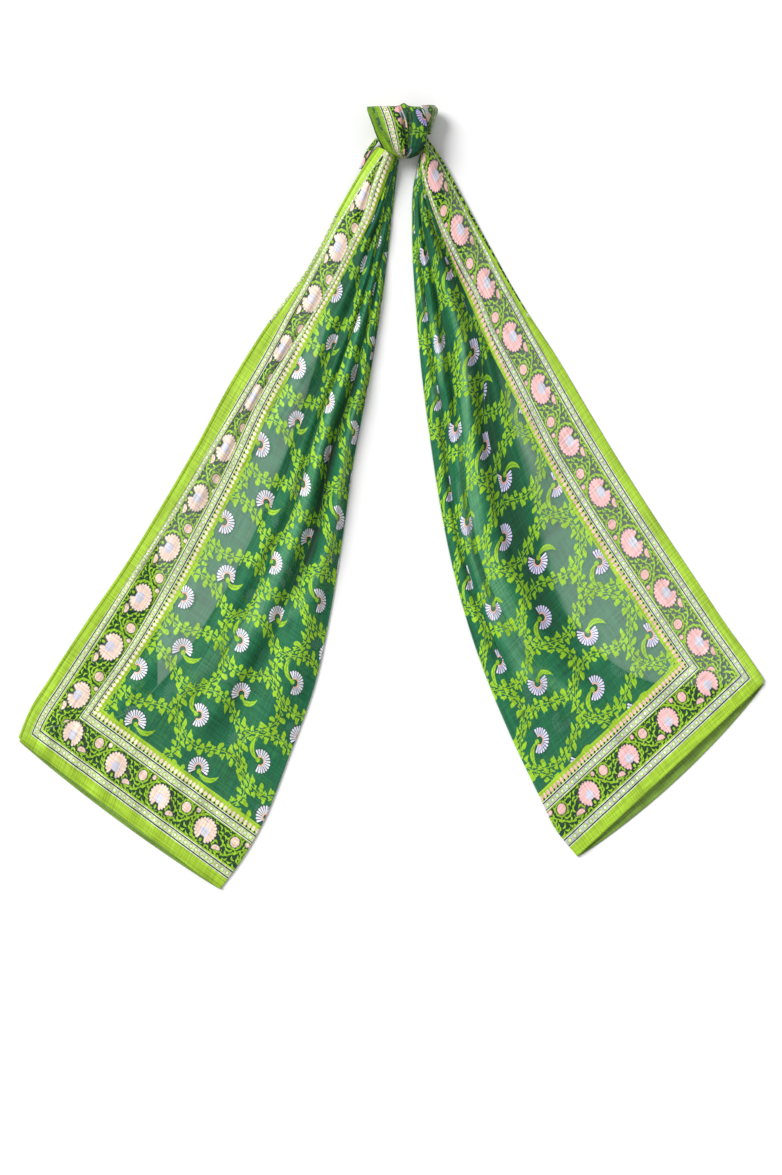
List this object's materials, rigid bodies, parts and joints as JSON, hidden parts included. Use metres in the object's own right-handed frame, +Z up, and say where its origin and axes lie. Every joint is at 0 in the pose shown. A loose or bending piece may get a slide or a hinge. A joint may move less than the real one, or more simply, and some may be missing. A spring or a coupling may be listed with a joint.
{
  "type": "shawl",
  "caption": "Sheer printed shawl folded along its length and tied in one overhand knot at the middle, its two tails fanned out flat.",
  "frame": {"origin": "middle of the outline, on the surface that the shawl lies on", "axes": "+Z up from the surface, +Y from the tails' ends towards the knot, +X towards the right tail"},
  "size_m": [1.034, 1.0857, 0.043],
  "materials": {
    "printed_voile": "sheer plain-weave cotton voile, lime and dark green floral print",
    "rolled_hem": "narrow rolled hem in plain lime, thread-stitched",
    "knotted_voile": "the same voile, gathered and layered"
  },
  "bodies": {
    "root": {"left_tail": "printed_voile", "left_end_hem": "rolled_hem", "left_front_side_hem": "rolled_hem", "left_back_side_hem": "rolled_hem", "right_tail": "printed_voile", "right_end_hem": "rolled_hem", "right_front_side_hem": "rolled_hem", "right_back_side_hem": "rolled_hem", "knot_wrap": "knotted_voile", "knot_core": "knotted_voile", "knot_ear": "knotted_voile", "knot_shoulder": "knotted_voile"}
  },
  "joints": []
}
